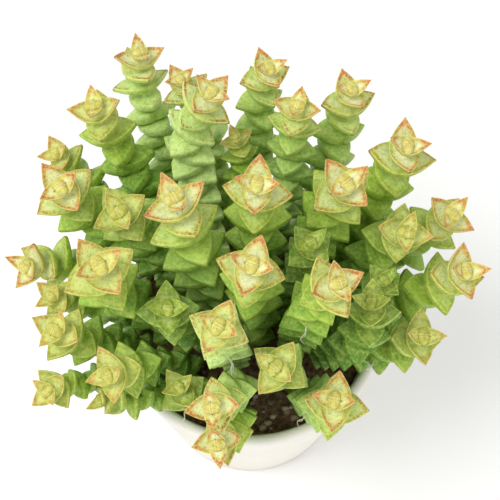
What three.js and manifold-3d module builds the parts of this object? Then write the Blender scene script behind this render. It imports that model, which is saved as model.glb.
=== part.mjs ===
// A potted crassula: a crowd of leafy stems with stacked triangular leaves, in a small plain pot.
// Millimetres, +Z up. The origin is the centre of the pot's flat underside.
import * as THREE from 'three';
import { mergeVertices } from 'three/addons/utils/BufferGeometryUtils.js';
import Module from 'manifold-3d';

const wasm = await Module();
wasm.setup();

// Driving sizes of the pot and the soil
const POT_HEIGHT = 50;
const POT_RIM_RADIUS = 35;
const POT_FOOT_RADIUS = 25;
const POT_WALL = 3;
const POT_LIP = POT_WALL / 2;
const POT_FLOOR = 4;
const FOOT_CHAMFER = 1;
const POT_SIDES = 48;
const LIP_STEPS = 4;
const DRAIN_RADIUS = 3;
const DRAIN_CIRCLE = 12;
const DRAIN_COUNT = 3;
const DRAIN_SIDES = 12;
const SOIL_TOP = 45;
const SOIL_CROWN = 1;
const SOIL_GRIT = 0.35;
const SOIL_SIDES = 32;
const SOIL_RINGS = 7;
const GAP = 0.4;
const BORE_PAST = 1;
const WELD = 0.0001;

// The woody foot of each stem, and how far up a stem stays bare
const WOOD_RADIUS = 1.4;
const WOOD_SIDES = 6;
const WOOD_DEPTH = 7;
const WOOD_TAPER = 0.85;
const COLLAR = 1.6;
const BARE_LENGTH = 9;

// How the stems spread out of the pot and make room for each other
const LEVEL_STEP = 6;
const LAST_STEP = 2;
const BASE_SHARE = 0.55;
const BASE_LIMIT = 25.5;
const RIM_SLOPE = 0.55;
const RIM_LEVELS = 3;
const LEAN_OUT = 1.2;
const TIP_DROP = 8;
const HELD_DROP = 5;
const THIN_BASE = 0.42;
const FILLING = 0.95;
const BUD_ROOM = 0.35;
const PUSH = 0.3;
const GROW_ROUNDS = 160;
const CURVE_STEPS = 6;
const EVEN_OUT = 4;
const ROOM_USED = 0.95;

// The form of a leaf pair, as shares of its own half span, half width, rise or gap. A pair's span
// is from tip to tip, and its gap is the distance down to the next pair.
const SHOULDER = 0.36;
const WAIST_RISE = 0.28;
const BELLY_REACH = 0.84;
const BELLY_WIDTH = 0.92;
const BELLY_RISE = 0.3;
const BELLY_DROP = 0.65;
const BELLY_TIP_DROP = 0.5;
const YOUNG_BELLY = 0.75;
const LOWEST_GAP = 0.4;
const NECK_PAIRS = 4;
const NECK_RADIUS = 0.4;
const NECK_SIDES = 4;
const BUD_LENGTH = 0.45;
const BUD_WIDTH = 0.3;
const BUD_TIP_RISE = 0.6;
const BUD_WAIST_RISE = 0.5;
const BUD_CAP = 0.18;
const UNEVEN_REACH = 0.08;
const UNEVEN_RISE = 0.3;
const UNEVEN_TURN = 5;

// From the bud down: each young pair's share of the full span, its shoulders' half width and its
// tips' rise as shares of half its span, and its distance below the pair above as a share of the full span
const YOUNG_SPAN = [0.62, 0.87];
const YOUNG_WIDTH = [0.5, 0.55];
const YOUNG_RISE = [0.85, 0.56, 0.34, 0.12, -0.06];
const YOUNG_GAP = [0.2, 0.15, 0.2, 0.25];
const OLD_WIDTH = 0.59;
const OLD_RISE = -0.22;
const OLD_GAP = 0.26;
const CROWDING = 0.45;
const FIRST_SPACED = 3;
const FIRST_SEED = 101;
const SEED_STEP = 37;

const POT_COLOR = 0xe9e6df;
const SOIL_COLOR = 0x4a3a2c;
const SHADE_COLOR = 0x5f9a34;
const SUN_COLOR = 0xc9cf7a;
const POT_ROUGHNESS = 0.8;
const SOIL_ROUGHNESS = 0.95;
const LEAF_ROUGHNESS = 0.5;

// Every stem: where its bud is from the pot's axis and the soil, how far its tip leans and which
// way in degrees, the turn of its youngest pair, its full span, how far the sun has tinted it, and
// how widely its older pairs are spaced
const stem = (x, y, z, lean, toward, turn, span, sun, spacing = 1) => ({
  x, y, z, lean, toward, turn, span, sun, spacing,
});
const STEMS = [
  stem(-27, 49.5, 55, 13, 165, 115, 15, 0.9, 0.9),
  stem(-37, 28.5, 60, 12, -110, 95, 15, 0.6, 1.15),
  stem(-17, 43, 52, 12, -90, 30, 13, 0.9),
  stem(-9, 29, 64, 19, -65, 145, 15.5, 1, 0.9),
  stem(5, 39, 61, 14, -35, 25, 13.5, 0.9),
  stem(11, 28.5, 60, 25, -80, 75, 13.5, 0.7),
  stem(25, 38, 55, 11, -55, 20, 15, 1),
  stem(37.5, 21.5, 54, 11, -65, 0, 17, 0.9),
  stem(-49, 28.5, 40, 30, -110, 20, 13, 0.6),
  stem(-43.5, 8.5, 55, 19, -100, 40, 16.5, 0.8),
  stem(-29.5, 1, 56, 21, -80, 125, 16, 0.4),
  stem(-16.5, -1, 66, 5, -60, 120, 17, 0.9),
  stem(1.5, 2, 66, 16, -85, 175, 16, 0.9, 1.25),
  stem(22, 7, 59, 11, -50, 40, 17, 0.9),
  stem(49, 10, 41, 21, -95, 55, 15.5, 0.8),
  stem(36.5, 0.5, 48, 20, -60, 80, 16, 0.6),
  stem(-56, 1.5, 30, 24, -125, 150, 15.5, 0.9),
  stem(-47.5, -8, 33, 20, -95, 45, 12.5, 0.5),
  stem(-32, -15.5, 61, 20, -90, 35, 18, 0.6, 1.25),
  stem(0.5, -16, 63, 10, -75, 165, 16, 0.9, 1.35),
  stem(-18, -18.5, 47, 14, -90, 5, 14.5, 0.1, 1.35),
  stem(-6.5, -29.5, 60, 24, -80, 155, 15, 0.6),
  stem(18.5, -22.5, 66, 19, -60, 115, 15, 0.8),
  stem(26.5, -18, 50, 15, -100, 175, 14, 0.2),
  stem(31, -7.5, 41, 14, -100, 40, 11.5, 0.1),
  stem(51, -5.5, 41, 21, -75, 5, 16, 0.8),
  stem(14, -3, 50, 15, -80, 40, 13.5, 0.1),
  stem(40.5, -19.5, 35, 27, -75, 0, 15.5, 0.5),
  stem(-44.5, -21, 40, 30, -100, 60, 15.5, 0.5),
  stem(-47, -32, 31, 40, -145, 135, 12.5, 0.5),
  stem(-32.5, -31, 38, 23, -105, 20, 15.5, 0.5),
  stem(-16.5, -29, 29, 30, -70, 35, 13, 0.3),
  stem(-8.5, -40.5, 42, 18, -85, 100, 14.5, 0.8),
  stem(-7.5, -44.5, 28, 48, -95, 105, 15.5, 0.9),
  stem(5, -33.5, 48, 27, -95, 145, 15.5, 0.4),
  stem(18.5, -35.5, 36, 21, -80, 170, 16, 0.7, 0.8),
  stem(-4, 29, 47, 12, -95, 110, 10, 0.5),
  stem(-36.5, -30.5, 23, 28, -105, 35, 12, 0.4),
];

// A repeatable draw between 0 and 1
function draws(seed) {
  let state = seed;
  return () => {
    state = (state * 16807) % 2147483647;
    return state / 2147483647;
  };
}

// The direction of a stem's tip
function tipAxis({ lean, toward }) {
  const tilt = THREE.MathUtils.degToRad(lean);
  const way = THREE.MathUtils.degToRad(toward);
  return new THREE.Vector3(Math.sin(tilt) * Math.cos(way), Math.sin(tilt) * Math.sin(way), Math.cos(tilt));
}

// The sideways place of a stem at a share of its bud's height, for one sideways axis. It leaves
// the soil leaning outward and ends in line with its tip.
function arc(base, bud, slope, height, share) {
  const squared = share * share;
  const cubed = squared * share;
  const toBud = 3 * squared - 2 * cubed;
  const start = (cubed - 2 * squared + share) * LEAN_OUT * (bud - base);
  return base + toBud * (bud - base) + start + (cubed - squared) * slope * height;
}

// Stems grow out of the soil and push each other aside. Each has a node at every level below its
// bud. Nodes near the bud are held, and the others move only sideways.
function growStems(stems) {
  const grown = stems.map((s) => {
    const axis = tipAxis(s);
    const slopeX = axis.x / axis.z;
    const slopeY = axis.y / axis.z;
    const baseX = BASE_SHARE * (s.x - TIP_DROP * slopeX);
    const baseY = BASE_SHARE * (s.y - TIP_DROP * slopeY);
    const inward = Math.min(1, BASE_LIMIT / Math.sqrt(baseX * baseX + baseY * baseY));
    const levels = Math.ceil((s.z - LAST_STEP) / LEVEL_STEP);
    const nodes = [];
    for (let level = 0; level < levels; level += 1) {
      const z = level * LEVEL_STEP;
      const share = z / s.z;
      nodes.push({
        x: arc(inward * baseX, s.x, slopeX, s.z, share),
        y: arc(inward * baseY, s.y, slopeY, s.z, share),
        z,
        radius: (s.span / 2) * Math.min(1, THIN_BASE + FILLING * share),
        held: s.z - z < HELD_DROP,
        shift: [0, 0],
      });
    }
    nodes.push({ x: s.x, y: s.y, z: s.z, radius: BUD_ROOM * s.span, held: true, shift: [0, 0] });
    return nodes;
  });
  const highest = Math.max(...grown.map((nodes) => nodes.length));
  for (let round = 0; round < GROW_ROUNDS; round += 1) {
    const moves = grown.map((nodes) => nodes.map(() => [0, 0]));
    for (let level = 0; level < highest; level += 1) {
      grown.forEach((own, i) => grown.forEach((other, j) => {
        if (i === j || level >= own.length || level >= other.length) return;
        const dx = own[level].x + own[level].shift[0] - other[level].x - other[level].shift[0];
        const dy = own[level].y + own[level].shift[1] - other[level].y - other[level].shift[1];
        const away = Math.sqrt(dx * dx + dy * dy) + 1e-9;
        const push = PUSH * Math.max(0, own[level].radius + other[level].radius - away) / away;
        moves[i][level][0] += push * dx;
        moves[i][level][1] += push * dy;
      }));
    }
    grown.forEach((nodes, i) => {
      const before = nodes.map(({ shift }) => [...shift]);
      nodes.forEach((node, level) => {
        if (node.held) return;
        for (let side = 0; side < 2; side += 1) {
          node.shift[side] += moves[i][level][side];
          if (level > 0) {
            const even = (before[level - 1][side] + before[level + 1][side]) / 2;
            node.shift[side] += PUSH * (even - before[level][side]);
          }
        }
        const x = node.x + node.shift[0];
        const y = node.y + node.shift[1];
        const out = Math.sqrt(x * x + y * y);
        const limit = BASE_LIMIT + RIM_SLOPE * node.z;
        if (level < RIM_LEVELS && out > limit) {
          node.shift[0] = (x * limit) / out - node.x;
          node.shift[1] = (y * limit) / out - node.y;
        }
      });
    });
  }
  return grown.map((nodes) => nodes.map(({ x, y, z, shift }) => (
    new THREE.Vector3(x + shift[0], y + shift[1], SOIL_TOP + z)
  )));
}

// One span of a smooth curve through b and c, with a before and d after them
function smooth(a, b, c, d, t) {
  const point = b.clone().multiplyScalar(2);
  point.addScaledVector(c.clone().sub(a), t);
  const second = a.clone().multiplyScalar(2).addScaledVector(b, -5).addScaledVector(c, 4).sub(d);
  point.addScaledVector(second, t * t);
  const third = b.clone().multiplyScalar(3).addScaledVector(c, -3).sub(a).add(d);
  point.addScaledVector(third, t * t * t);
  return point.multiplyScalar(0.5);
}

// The centreline of a stem from the soil to its bud, as points with their distance along it
function centreline(nodes, axis) {
  const last = nodes.length - 1;
  const before = nodes[0].clone().multiplyScalar(2).sub(nodes[1]);
  const after = nodes[last].clone().addScaledVector(axis, nodes[last].distanceTo(nodes[last - 1]));
  const all = [before, ...nodes, after];
  const points = [];
  for (let i = 1; i <= last; i += 1) {
    for (let step = 0; step < CURVE_STEPS; step += 1) {
      points.push(smooth(all[i - 1], all[i], all[i + 1], all[i + 2], step / CURVE_STEPS));
    }
  }
  points.push(nodes[last].clone());
  const along = [0];
  points.forEach((point, i) => {
    if (i > 0) along.push(along[i - 1] + point.distanceTo(points[i - 1]));
  });
  return { points, along, length: along[along.length - 1] };
}

// A place on a stem with the direction along it and two directions across it
function frameOf(place, way) {
  const across = new THREE.Vector3(1, 0, 0).addScaledVector(way, -way.x).normalize();
  return { place, way, across, beside: way.clone().cross(across) };
}

// The place at a distance along a stem. It runs on straight past both ends.
function placeAt({ points, along }, distance) {
  let i = 1;
  while (i < points.length - 1 && along[i] < distance) i += 1;
  const way = points[i].clone().sub(points[i - 1]).normalize();
  return points[i - 1].clone().addScaledVector(way, distance - along[i - 1]);
}

// The frame at a distance along a stem, with its direction evened out over a short length
function frameAt(line, distance) {
  const way = placeAt(line, distance + EVEN_OUT).sub(placeAt(line, distance - EVEN_OUT)).normalize();
  return frameOf(placeAt(line, distance), way);
}

// A closed skin built of rings from the bottom of a stem to its top
class Skin {
  constructor() {
    this.points = [];
    this.faces = [];
    this.last = null;
  }

  // Points given as sideways x and y and height along the stem, in a frame of the stem
  ring(frame, outline) {
    const placed = outline.map(([x, y, height]) => {
      const at = frame.place.clone();
      at.addScaledVector(frame.across, x).addScaledVector(frame.beside, y).addScaledVector(frame.way, height);
      this.points.push(at);
      const turn = Math.atan2(y, x);
      return { index: this.points.length - 1, turn: turn < 0 ? turn + 2 * Math.PI : turn };
    });
    placed.sort((a, b) => a.turn - b.turn);
    if (this.last) this.bridge(this.last, placed);
    else this.close(placed, false);
    this.last = placed;
  }

  // Triangles between two rings that each go once round the stem
  bridge(low, high) {
    const turnAfter = (ring, i) => {
      if (i >= ring.length) return Infinity;
      return i + 1 < ring.length ? ring[i + 1].turn : ring[0].turn + 2 * Math.PI;
    };
    let i = 0;
    let j = 0;
    while (i < low.length || j < high.length) {
      const a = low[i % low.length].index;
      const b = high[j % high.length].index;
      if (turnAfter(low, i) <= turnAfter(high, j)) {
        this.faces.push([a, low[(i + 1) % low.length].index, b]);
        i += 1;
      } else {
        this.faces.push([a, high[(j + 1) % high.length].index, b]);
        j += 1;
      }
    }
  }

  close(ring, facingUp) {
    for (let i = 1; i < ring.length - 1; i += 1) {
      const [a, b, c] = [ring[0].index, ring[i].index, ring[i + 1].index];
      this.faces.push(facingUp ? [a, b, c] : [a, c, b]);
    }
  }

  geometry() {
    this.close(this.last, true);
    const shape = new THREE.BufferGeometry();
    const flat = this.points.flatMap((point) => point.toArray());
    shape.setAttribute('position', new THREE.Float32BufferAttribute(flat, 3));
    shape.setIndex(this.faces.flat());
    return shape;
  }
}

// Turns an outline of [x, y, height] round the stem by an angle
function turned(outline, angle) {
  const c = Math.cos(angle);
  const s = Math.sin(angle);
  return outline.map(([x, y, height]) => [x * c - y * s, x * s + y * c, height]);
}

// A ring with few sides, level across the stem
function evenRing(sides, radius, height) {
  return Array.from({ length: sides }, (_, i) => {
    const angle = ((i + 0.5) * 2 * Math.PI) / sides;
    return [radius * Math.cos(angle), radius * Math.sin(angle), height];
  });
}

// The outline of a leaf pair: two tips and four shoulders. reach holds the two tips' distances.
function pairRing(reach, half, rises, waist) {
  return [
    [reach[0], 0, rises[0]],
    [SHOULDER * reach[0], half, waist],
    [-SHOULDER * reach[1], half, waist],
    [-reach[1], 0, rises[1]],
    [-SHOULDER * reach[1], -half, waist],
    [SHOULDER * reach[0], -half, waist],
  ];
}

// The value for a pair by its number from the bud down, with one value for all the old pairs
function byAge(young, old, k) {
  return k < young.length ? young[k] : old;
}

// The pairs of one stem from the bud down, with the sizes that its neighbours leave room for
function leafPairs(s, line, room, draw) {
  const uneven = (spread) => 1 + spread * (draw() - 0.5);
  const pairs = [];
  let below = 0;
  for (let k = 0; ; k += 1) {
    const fullness = k === 0 ? 1 : (2 * pairs[k - 1].reach) / s.span;
    const oldGap = OLD_GAP * (1 - CROWDING * (1 - fullness));
    below += s.span * byAge(YOUNG_GAP, oldGap, k) * (k < FIRST_SPACED ? 1 : s.spacing);
    const at = line.length - below;
    if (at < BARE_LENGTH) return pairs;
    const turn = THREE.MathUtils.degToRad(s.turn + 90 * (k % 2) + UNEVEN_TURN * (draw() - 0.5));
    const reach = (s.span / 2) * Math.min(byAge(YOUNG_SPAN, 1, k), room(at));
    const half = reach * byAge(YOUNG_WIDTH, OLD_WIDTH, k);
    const rise = reach * byAge(YOUNG_RISE, OLD_RISE, k);
    const tips = [reach * uneven(UNEVEN_REACH), reach * uneven(UNEVEN_REACH)];
    const rises = [rise * uneven(UNEVEN_RISE), rise * uneven(UNEVEN_RISE)];
    pairs.push({ at, turn, reach, half, rise, tips, rises, gap: 0 });
    if (k > 0) pairs[k - 1].gap = pairs[k - 1].at - at;
  }
}

// One leafy stem as one closed skin
function stemGeometry(line, pairs) {
  const skin = new Skin();
  const foot = frameOf(line.points[0], new THREE.Vector3(0, 0, 1));
  skin.ring(foot, evenRing(WOOD_SIDES, WOOD_RADIUS, -WOOD_DEPTH));
  skin.ring(foot, evenRing(WOOD_SIDES, WOOD_RADIUS, COLLAR));
  const lowest = pairs[pairs.length - 1];
  lowest.gap = LOWEST_GAP * lowest.at;
  skin.ring(frameAt(line, lowest.at - lowest.gap), evenRing(WOOD_SIDES, WOOD_TAPER * WOOD_RADIUS, 0));
  [...pairs].reverse().forEach(({ at, turn, reach, half, rise, tips, rises, gap }, i) => {
    const frame = frameAt(line, at);
    const plump = gap * (pairs.length - i <= YOUNG_GAP.length ? YOUNG_BELLY : 1);
    const belly = tips.map((tip) => BELLY_REACH * tip);
    const keel = rises.map((up) => BELLY_RISE * up - BELLY_TIP_DROP * plump);
    skin.ring(frame, turned(pairRing(belly, BELLY_WIDTH * half, keel, -BELLY_DROP * plump), turn));
    skin.ring(frame, turned(pairRing(tips, half, rises, WAIST_RISE * rise), turn));
    if (pairs.length - i <= NECK_PAIRS) {
      skin.ring(frame, turned(evenRing(NECK_SIDES, NECK_RADIUS * reach, 0), turn));
    }
  });
  const { at, turn, reach } = pairs[0];
  const frame = frameAt(line, at);
  const height = line.length - at;
  const crosswise = turn + Math.PI / 2;
  const bean = [BUD_LENGTH * reach, BUD_LENGTH * reach];
  const ends = [BUD_TIP_RISE * height, BUD_TIP_RISE * height];
  skin.ring(frame, turned(pairRing(bean, BUD_WIDTH * reach, ends, BUD_WAIST_RISE * height), crosswise));
  skin.ring(frame, turned(evenRing(NECK_SIDES, BUD_CAP * reach, height), crosswise));
  return skin.geometry();
}

// A three.js shape as a manifold solid, and back
function solid(geometry) {
  const bare = geometry.index ? geometry.toNonIndexed() : geometry.clone();
  bare.deleteAttribute('normal');
  bare.deleteAttribute('uv');
  const welded = mergeVertices(bare, WELD);
  return new wasm.Manifold(new wasm.Mesh({
    numProp: 3,
    vertProperties: new Float32Array(welded.attributes.position.array),
    triVerts: new Uint32Array(welded.index.array),
  }));
}

function shapeOf(manifold) {
  const mesh = manifold.getMesh();
  const shape = new THREE.BufferGeometry();
  shape.setAttribute('position', new THREE.Float32BufferAttribute(mesh.vertProperties, 3));
  shape.setIndex(Array.from(mesh.triVerts));
  return shape;
}

function meshOf(name, geometry, color, roughness) {
  const facets = geometry.toNonIndexed();
  facets.computeVertexNormals();
  const mesh = new THREE.Mesh(facets, new THREE.MeshStandardMaterial({ color, roughness, metalness: 0 }));
  mesh.name = name;
  return mesh;
}

// An upright prism that stands on a place, for boring holes
function post(place, radius, length, sides) {
  const shape = new THREE.CylinderGeometry(radius, radius, length, sides);
  shape.rotateX(Math.PI / 2);
  shape.translate(place.x, place.y, place.z + length / 2);
  return solid(shape);
}

// The pot's inner radius at a height above its underside
function potInside(z) {
  const share = (z - FOOT_CHAMFER) / (POT_HEIGHT - POT_LIP - FOOT_CHAMFER);
  return POT_FOOT_RADIUS + (POT_RIM_RADIUS - POT_FOOT_RADIUS) * share - POT_WALL;
}

function potGeometry() {
  const profile = [
    new THREE.Vector2(0, 0),
    new THREE.Vector2(POT_FOOT_RADIUS - FOOT_CHAMFER, 0),
    new THREE.Vector2(POT_FOOT_RADIUS, FOOT_CHAMFER),
  ];
  for (let step = 0; step <= LIP_STEPS; step += 1) {
    const angle = (Math.PI * step) / LIP_STEPS;
    profile.push(new THREE.Vector2(
      POT_RIM_RADIUS - POT_LIP + POT_LIP * Math.cos(angle),
      POT_HEIGHT - POT_LIP + POT_LIP * Math.sin(angle),
    ));
  }
  profile.push(new THREE.Vector2(potInside(POT_FLOOR), POT_FLOOR), new THREE.Vector2(0, POT_FLOOR));
  const bowl = new THREE.LatheGeometry(profile, POT_SIDES);
  bowl.rotateX(Math.PI / 2);
  let pot = solid(bowl);
  for (let i = 0; i < DRAIN_COUNT; i += 1) {
    const angle = (2 * Math.PI * (i + 0.25)) / DRAIN_COUNT;
    const [x, y] = [DRAIN_CIRCLE * Math.cos(angle), DRAIN_CIRCLE * Math.sin(angle)];
    const place = new THREE.Vector3(x, y, -BORE_PAST);
    pot = pot.subtract(post(place, DRAIN_RADIUS, POT_FLOOR + 2 * BORE_PAST, DRAIN_SIDES));
  }
  return shapeOf(pot);
}

// The soil's surface above its level: a low crown with grit raised by a formula
function soilRelief(x, y, edge) {
  const out = Math.sqrt(x * x + y * y) / edge;
  const grit = Math.sin(1.9 * x + 0.7 * y) * Math.cos(1.3 * y - 0.8 * x) + 0.6 * Math.sin(2.7 * y + 1.1 * x);
  return SOIL_CROWN * (1 - out * out) + SOIL_GRIT * grit * Math.min(1, 3 * (1 - out));
}

// The soil fills the pot to below its rim, with a hole for the foot of every stem
function soilGeometry(lines) {
  const edge = potInside(SOIL_TOP) - GAP;
  const bottom = POT_FLOOR + GAP;
  const profile = [new THREE.Vector2(0, bottom), new THREE.Vector2(potInside(bottom) - GAP, bottom)];
  for (let ring = 0; ring <= SOIL_RINGS; ring += 1) {
    profile.push(new THREE.Vector2(edge * (1 - ring / SOIL_RINGS), SOIL_TOP));
  }
  const plug = new THREE.LatheGeometry(profile, SOIL_SIDES);
  plug.rotateX(Math.PI / 2);
  const place = plug.attributes.position;
  for (let i = 0; i < place.count; i += 1) {
    if (place.getZ(i) > SOIL_TOP - WELD) {
      place.setZ(i, SOIL_TOP + soilRelief(place.getX(i), place.getY(i), edge));
    }
  }
  let soil = solid(plug);
  lines.forEach((line) => {
    const deep = line.points[0].clone().sub(new THREE.Vector3(0, 0, WOOD_DEPTH + GAP));
    const length = WOOD_DEPTH + GAP + 2 * SOIL_CROWN + BORE_PAST;
    soil = soil.subtract(post(deep, WOOD_RADIUS + GAP, length, WOOD_SIDES));
  });
  return shapeOf(soil);
}

// How far a square with corners at distance 1 reaches in a direction, given from one of its corners
function squareReach(angle) {
  return Math.max(Math.abs(Math.cos(angle)), Math.abs(Math.sin(angle)));
}

// The share of its full span that a pair may have at a distance along stem i. Seen along a stem,
// its leaves fill a square with a tip at each corner. The squares of two neighbours are shrunk
// until the direction that parts them best leaves them side by side.
function roomFor(i, lines) {
  const turns = STEMS.map((s) => THREE.MathUtils.degToRad(s.turn));
  const reachOf = (j, parting) => (STEMS[j].span / 2) * squareReach(parting - turns[j]);
  return (distance) => {
    const { place, way, across, beside } = frameAt(lines[i], distance);
    let room = Infinity;
    lines.forEach((line, j) => {
      if (i === j) return;
      const away = line.points.map((point) => place.distanceTo(point));
      const to = line.points[away.indexOf(Math.min(...away))].clone().sub(place);
      const corners = [turns[i], turns[i] + Math.PI / 2, turns[j], turns[j] + Math.PI / 2];
      const shares = corners.map((corner) => {
        const parting = corner + Math.PI / 4;
        const apart = to.dot(across) * Math.cos(parting) + to.dot(beside) * Math.sin(parting);
        return Math.hypot(apart, to.dot(way)) / (reachOf(i, parting) + reachOf(j, parting));
      });
      room = Math.min(room, ROOM_USED * Math.max(...shares));
    });
    return room;
  };
}

// Assembly
const plant = new THREE.Group();
const lines = growStems(STEMS).map((nodes, i) => centreline(nodes, tipAxis(STEMS[i])));
plant.add(meshOf('pot', potGeometry(), POT_COLOR, POT_ROUGHNESS));
plant.add(meshOf('soil', soilGeometry(lines), SOIL_COLOR, SOIL_ROUGHNESS));
STEMS.forEach((s, i) => {
  const pairs = leafPairs(s, lines[i], roomFor(i, lines), draws(FIRST_SEED + SEED_STEP * i));
  const color = new THREE.Color(SHADE_COLOR).lerp(new THREE.Color(SUN_COLOR), s.sun);
  const name = `stem_${String(i + 1).padStart(2, '0')}`;
  plant.add(meshOf(name, stemGeometry(lines[i], pairs), color, LEAF_ROUGHNESS));
});

export default plant;
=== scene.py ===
import math
from collections import namedtuple

import bmesh
import bpy
import numpy as np
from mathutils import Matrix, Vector


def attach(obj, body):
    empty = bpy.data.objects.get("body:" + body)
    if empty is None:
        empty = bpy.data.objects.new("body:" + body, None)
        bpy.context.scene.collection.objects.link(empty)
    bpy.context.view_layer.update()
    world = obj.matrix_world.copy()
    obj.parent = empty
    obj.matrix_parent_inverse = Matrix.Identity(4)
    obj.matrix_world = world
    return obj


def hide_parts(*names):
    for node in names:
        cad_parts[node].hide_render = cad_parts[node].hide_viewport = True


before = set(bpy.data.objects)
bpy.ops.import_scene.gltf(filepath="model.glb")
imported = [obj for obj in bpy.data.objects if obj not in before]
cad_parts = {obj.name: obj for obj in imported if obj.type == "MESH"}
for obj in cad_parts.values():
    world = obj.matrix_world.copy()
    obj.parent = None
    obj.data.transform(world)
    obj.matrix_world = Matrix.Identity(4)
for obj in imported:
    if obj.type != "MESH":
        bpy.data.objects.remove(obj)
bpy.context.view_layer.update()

MM = 0.001
TINY = 1e-9
DRAW_FACTOR = 16807
DRAW_LIMIT = 2147483647

# Camera: the photograph's viewing angle, for a frame of 500 by 500
FRAME_PIXELS = 500
FOCAL_PIXELS = 1042
SENSOR = 36
VIEW_ELEVATION = 60
VIEW_DISTANCE = 250
VIEW_HEIGHT = 80
TARGET = Vector((0, 0, VIEW_HEIGHT)) * MM
FRAME_SHIFT = 12 / FRAME_PIXELS
CLIP_METRES = (0.01, 10)

# Soft studio light: each lamp's place and size in metres and its power in watts, and the sky's strength
LAMPS = {
    "key_light": ((-0.42, -0.12, 0.75), 0.5, 4.0),
    "fill_light": ((0.3, -0.7, 0.55), 0.8, 2.2),
}
SKY_STRENGTH = 0.7
FLOOR_HALF_METRES = 3
FLOOR_DROP = 0.2

# Pot and soil. The drain holes' turn is a share of the way from one to the next.
POT_HEIGHT = 50
POT_RIM_RADIUS = 35
POT_FOOT_RADIUS = 25
POT_WALL = 3
POT_LIP = POT_WALL / 2
POT_FLOOR = 4
FOOT_CHAMFER = 1
DRAIN_RADIUS = 3
DRAIN_CIRCLE = 12
DRAIN_COUNT = 3
DRAIN_TURN = 0.25
DRAIN_SIDES = 32
DRAIN_PAST = 2
POT_SIDES = 144
FOOT_STEPS = 4
WALL_STEPS = 24
LIP_STEPS = 12
INSIDE_STEPS = 11
SHARP_ANGLE = 40
TURNING_STEP = 1.7
# The pot's colour darkens towards its foot over this height
FOOT_DARKENING = 9
GAP = 0.4
SOIL_TOP = 45
SOIL_CROWN = 1
SOIL_RINGS = 56
SOIL_SWELL = 0.18
SOIL_CRUMBS = 0.16
SOIL_LEVELLING = 4

# Dry thread-like roots: for a stem's number, the pairs that they hang from. Their root is at a share
# of the pair's reach, and they go out, down and to a side by shares of their own length.
THREADS = {22: (5, 6), 23: (6,), 28: (5,), 32: (3,), 36: (6,)}
THREADS_TOGETHER = 3
THREAD_LENGTHS = (2.04, 4.08)
THREAD_RADIUS = 0.11
THREAD_TAPER = 0.6
THREAD_ROOT = 0.62
THREAD_OUT = 0.75
THREAD_BEND = 1.5
THREAD_DOWN = 0.9
THREAD_CURL = 0.22
THREAD_WAVES = (5, 9)
THREAD_PHASE = 6
THREAD_SIDES = 5
THREAD_STEPS = 12
THREAD_SEED = 4242

# Loose stones on the soil
STONE_COUNT = 320
STONE_SIZES = (0.3, 1.15)
STONE_SHOWN = 0.25
STONE_DENT = 0.24
STONE_FORM = (1, 0.8, 0.7)
STONE_SEED = 9001
STONE_MATERIAL = 1

# The woody foot of each stem, with the height, number and turn of its knobs, and how far up a stem
# stays bare. The foot is a little thinner than the solid's corners, and its knobs reach no further out.
WOOD_RADIUS = 1.4
WOOD_SHARE = 0.92
WOOD_KNOBS = [(0.05, 3, 1), (0.03, 5, 0)]
WOOD_DEPTH = 7
WOOD_NECK = 2
WOOD_TAPER = 0.85
COLLAR = 1.6
BARE_LENGTH = 9
BARE_SHARES = (0.5, 0.9)
OLDEST = 14

# How the stems spread out of the pot and make room for each other
LEVEL_STEP = 6
LAST_STEP = 2
BASE_SHARE = 0.55
BASE_LIMIT = 25.5
RIM_SLOPE = 0.55
RIM_LEVELS = 3
LEAN_OUT = 1.2
TIP_DROP = 8
HELD_DROP = 5
THIN_BASE = 0.42
FILLING = 0.95
BUD_ROOM = 0.35
PUSH = 0.3
GROW_ROUNDS = 160
CURVE_STEPS = 6
EVEN_OUT = 4
ROOM_USED = 0.95

# From the bud down: each young pair's share of the full span, its half width and its tips' rise as
# shares of half its span, and its distance below the pair above as a share of the full span
YOUNG_SPAN = [0.62, 0.87]
YOUNG_WIDTH = [0.5, 0.55]
YOUNG_RISE = [0.85, 0.56, 0.34, 0.12, -0.06]
YOUNG_GAP = [0.2, 0.15, 0.2, 0.25]
OLD_WIDTH = 0.59
OLD_RISE = -0.22
OLD_GAP = 0.26
CROWDING = 0.45
YOUNG_BELLY = 0.75
LOWEST_GAP = 0.4
UNEVEN_REACH = 0.08
UNEVEN_RISE = 0.3
UNEVEN_TURN = 5
FIRST_SEED = 101
SEED_STEP = 37

# The form of a leaf pair in fine steps
QUARTER = 12
ROUND = 4 * QUARTER
TIP_CROWDING = 1.25
SHOULDER = 0.36
ROUNDNESS = 2.6
FULLNESS = 1.06
JOIN_NOTCH = 0.08
JOIN_WIDTH = 0.1
CREASE_FROM = 0.7
WAIST_RISE = 0.28
TIP_CURL = 1.4
TIP_THIN = 0.3
WAIST_THIN = 0.12
SWELL = 0.045
CUP = 0.05
CUPPED_PAIRS = 2
# Underside rings from the core out: share of the outline and depth as a share of the gap below
UNDER_RINGS = [(0.55, 0.93), (0.76, 0.87), (0.89, 0.75), (0.96, 0.59), (0.995, 0.4), (1.002, 0.2)]
# Upper rings from the margin in: share of the outline, and share of the swell or the cup
UPPER_RINGS = [(0.985, 0, 0), (0.95, 0.12, 0.3), (0.9, 0.3, 0.65), (0.8, 0.6, 0.95), (0.66, 0.85, 1)]
UPPER_RINGS += [(0.5, 1, 0.8), (0.36, 1.1, 0.4)]

# The bud: two small leaves closed face to face
BUD_LENGTH = 0.46
BUD_WIDTH = 0.31
BUD_HEIGHT = 0.74
BUD_SLIT = 0.06
BUD_SLIT_WIDTH = 0.07
BUD_PINCH = 0.02
BUD_CROWDING = 0.38
BUD_LIP = 0.22
BUD_ALONG = 0.3
# Height shares and the bud's girth there
BUD_RINGS = [(0.1, 0.9), (0.35, 1), (0.55, 0.99), (0.72, 0.93), (0.85, 0.8), (0.94, 0.61), (0.985, 0.4)]
BUD_RINGS += [(1, 0.2), (1, 0.05)]
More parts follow.
